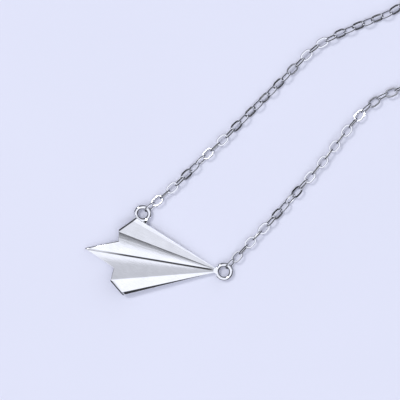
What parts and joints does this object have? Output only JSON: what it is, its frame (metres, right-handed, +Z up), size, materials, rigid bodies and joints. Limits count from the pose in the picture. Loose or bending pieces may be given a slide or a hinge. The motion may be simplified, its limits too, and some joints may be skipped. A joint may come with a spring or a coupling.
{
  "type": "pendant necklace",
  "caption": "Folded paper-plane pendant hung by two rings on a fine oval cable chain that closes with a spring-ring clasp.",
  "frame": {"origin": "on the flat underside of the keel, halfway along the plane", "axes": "+X along the keel towards the nose, +Y towards the wing with the eye, +Z up from the table"},
  "size_m": [0.0666, 0.0692, 0.0027],
  "materials": {
    "polished_silver": "mirror polished, fine brushed wipe marks",
    "ring_silver": "polished wire, dull at the solder",
    "chain_silver": "bright drawn wire",
    "clasp_silver": "polished",
    "spring_steel": "drawn spring wire"
  },
  "bodies": {
    "chain": {"wing_chain_links": "chain_silver", "nose_chain_links": "chain_silver", "wing_chain_coil": "chain_silver", "nose_chain_coil": "chain_silver", "wing_last_link": "chain_silver", "nose_last_link": "chain_silver", "clasp_jump_ring": "chain_silver", "end_jump_ring": "chain_silver"},
    "pendant": {"plane_body": "polished_silver", "wing_eye": "polished_silver", "nose_ring": "ring_silver"},
    "clasp": {"clasp_tube": "clasp_silver", "clasp_eye": "clasp_silver", "clasp_spring": "spring_steel"},
    "clasp_bolt": {"clasp_bolt": "clasp_silver", "clasp_knob": "clasp_silver"},
    "end_ring": {"end_ring": "clasp_silver"}
  },
  "joints": [
    {"name": "pendant_swing", "type": "hinge", "parent": "chain", "child": "pendant", "pos_m": [-0.0016, 0.00755, 0.00062], "axis": [-0.8984, 0.4392, 0], "range_deg": [0, 120]},
    {"name": "clasp_swing", "type": "hinge", "parent": "chain", "child": "clasp", "pos_m": [0.04541, 0.04981, 0.00072], "axis": [-0.236, 0.9718, 0], "range_deg": [0, 25]},
    {"name": "clasp_bolt_slide", "type": "hinge", "parent": "clasp", "child": "clasp_bolt", "pos_m": [0.04137, 0.05093, 0.00072], "axis": [0, 0, 1], "range_deg": [-58, 0], "stiffness_Nm_per_rad": 0.00002, "deforming": ["clasp_spring"]},
    {"name": "end_ring_swing", "type": "hinge", "parent": "chain", "child": "end_ring", "pos_m": [0.04501, 0.024, 0.00072], "axis": [0.7801, 0.6257, 0], "range_deg": [0, 80]}
  ]
}
